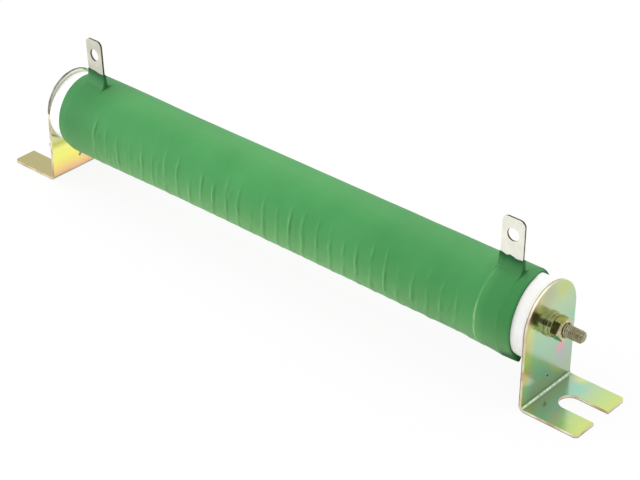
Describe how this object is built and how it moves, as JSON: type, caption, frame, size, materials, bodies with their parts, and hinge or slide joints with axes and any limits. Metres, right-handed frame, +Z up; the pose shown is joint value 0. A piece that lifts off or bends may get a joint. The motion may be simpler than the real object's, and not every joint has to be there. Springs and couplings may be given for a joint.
{
  "type": "tubular power resistor",
  "caption": "Tubular wirewound power resistor: green-coated ceramic tube with an upright lug near each end, clamped between slotted angle brackets by a through bolt.",
  "frame": {"origin": "on the mounting surface, below the middle of the tube", "axes": "+X along the tube towards the bolt's free end, +Y to the back, away from the side the lugs stand on, +Z up from the mounting surface"},
  "size_m": [0.362, 0.0408, 0.0833],
  "materials": {
    "ceramic": "matt white steatite",
    "green_coat": "satin cement coat",
    "wire": "bare resistance wire",
    "tinned_strip": "tinned, half bright",
    "passivated_steel": "yellow passivated zinc, bright",
    "bolt_steel": "yellow passivated zinc, worn"
  },
  "bodies": {
    "root": {"ceramic_tube": "ceramic", "resistance_winding": "wire", "coating": "green_coat", "terminal_left": "tinned_strip", "terminal_right": "tinned_strip", "centring_bush_left": "ceramic", "centring_bush_right": "ceramic", "bracket_left": "passivated_steel", "bracket_right": "passivated_steel", "through_bolt": "bolt_steel", "flat_washer": "bolt_steel", "spring_washer": "bolt_steel", "hex_nut": "bolt_steel"}
  },
  "joints": []
}
